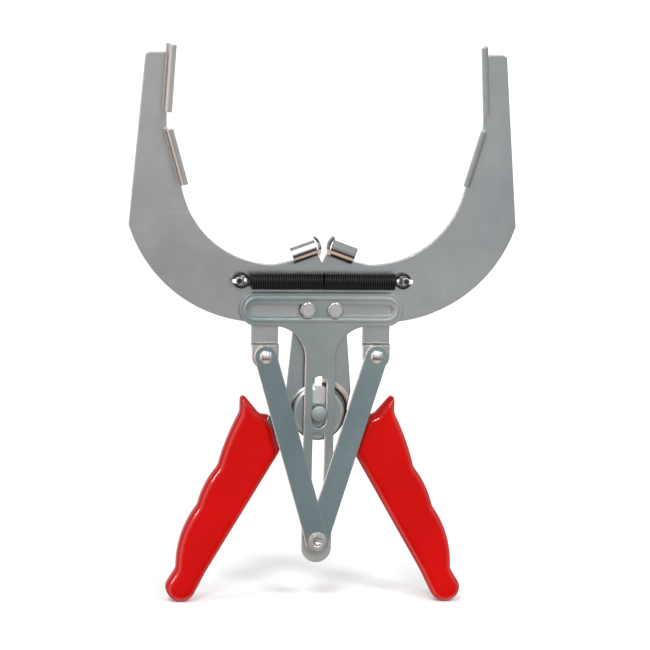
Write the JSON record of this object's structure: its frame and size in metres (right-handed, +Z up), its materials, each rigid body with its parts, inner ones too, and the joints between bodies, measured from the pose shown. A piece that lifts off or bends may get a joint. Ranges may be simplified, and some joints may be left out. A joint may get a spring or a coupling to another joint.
{
  "type": "piston ring pliers",
  "caption": "Hand pliers with two curved sheet-steel jaws that slide apart on a T-shaped guide plate when the red grips are squeezed, to spread a piston ring.",
  "frame": {"origin": "under the middle of the bounding box, at the level of the two grip ends that the tool stands on", "axes": "+Z up from the grips to the jaws, +X to the right seen from the front, +Y to the back, so the front faces -Y"},
  "size_m": [0.1754, 0.0194, 0.2536],
  "materials": {
    "plated_steel": "satin zinc plate",
    "bright_rivet": "bright plated",
    "red_grip": "glossy dipped vinyl",
    "black_spring": "gloss black"
  },
  "bodies": {
    "guide": {"guide_plate": "plated_steel", "tension_spring": "black_spring"},
    "left_jaw_body": {"left_jaw": "plated_steel", "left_guide_rivet": "bright_rivet", "left_guide_washer": "plated_steel", "left_ear_rivet": "bright_rivet", "left_ear_washer": "plated_steel"},
    "right_jaw_body": {"right_jaw": "plated_steel", "right_guide_rivet": "bright_rivet", "right_guide_washer": "plated_steel", "right_ear_rivet": "bright_rivet", "right_ear_washer": "plated_steel"},
    "left_handle": {"left_handle_plate": "plated_steel", "left_grip": "red_grip", "pivot_rivet": "bright_rivet", "pivot_spacer": "plated_steel", "pivot_washer": "plated_steel"},
    "right_handle": {"right_handle_plate": "plated_steel", "right_grip": "red_grip"},
    "left_link_body": {"left_link": "plated_steel", "foot_rivet": "bright_rivet", "foot_washer": "bright_rivet", "foot_rear_washer": "plated_steel", "foot_bush": "plated_steel"},
    "right_link_body": {"right_link": "plated_steel"}
  },
  "joints": [
    {"name": "left_jaw_slide", "type": "slide", "parent": "guide", "child": "left_jaw_body", "axis": [-1, 0, 0], "range_m": [0, 0.022], "stiffness_N_per_m": 2630, "springref_m": -0.006, "deforming": ["tension_spring"]},
    {"name": "right_jaw_slide", "type": "slide", "parent": "guide", "child": "right_jaw_body", "axis": [1, 0, 0], "range_m": [0, 0.022], "deforming": ["tension_spring"]},
    {"name": "left_handle_hinge", "type": "hinge", "parent": "left_jaw_body", "child": "left_handle", "pos_m": [-0.0062, 0.00133, 0.1341], "axis": [0, -1, 0], "range_deg": [0, 28.3]},
    {"name": "right_handle_hinge", "type": "hinge", "parent": "right_jaw_body", "child": "right_handle", "pos_m": [0.0062, 0.00133, 0.1341], "axis": [0, 1, 0], "range_deg": [0, 28.3]},
    {"name": "left_link_hinge", "type": "hinge", "parent": "left_jaw_body", "child": "left_link_body", "pos_m": [-0.0253, -0.00643, 0.1132], "axis": [0, -1, 0], "range_deg": [0, 15.7]},
    {"name": "right_link_hinge", "type": "hinge", "parent": "right_jaw_body", "child": "right_link_body", "pos_m": [0.0253, -0.00483, 0.1132], "axis": [0, 1, 0], "range_deg": [0, 15.7]}
  ],
  "couplings": [
    {"joint": "right_jaw_slide", "follows": "left_jaw_slide", "ratio": 1},
    {"joint": "left_handle_hinge", "follows": "left_jaw_slide", "rad_per_m": 22.41},
    {"joint": "right_handle_hinge", "follows": "left_jaw_slide", "rad_per_m": 22.41},
    {"joint": "left_link_hinge", "follows": "left_jaw_slide", "rad_per_m": 12.427},
    {"joint": "right_link_hinge", "follows": "left_jaw_slide", "rad_per_m": 12.427}
  ]
}
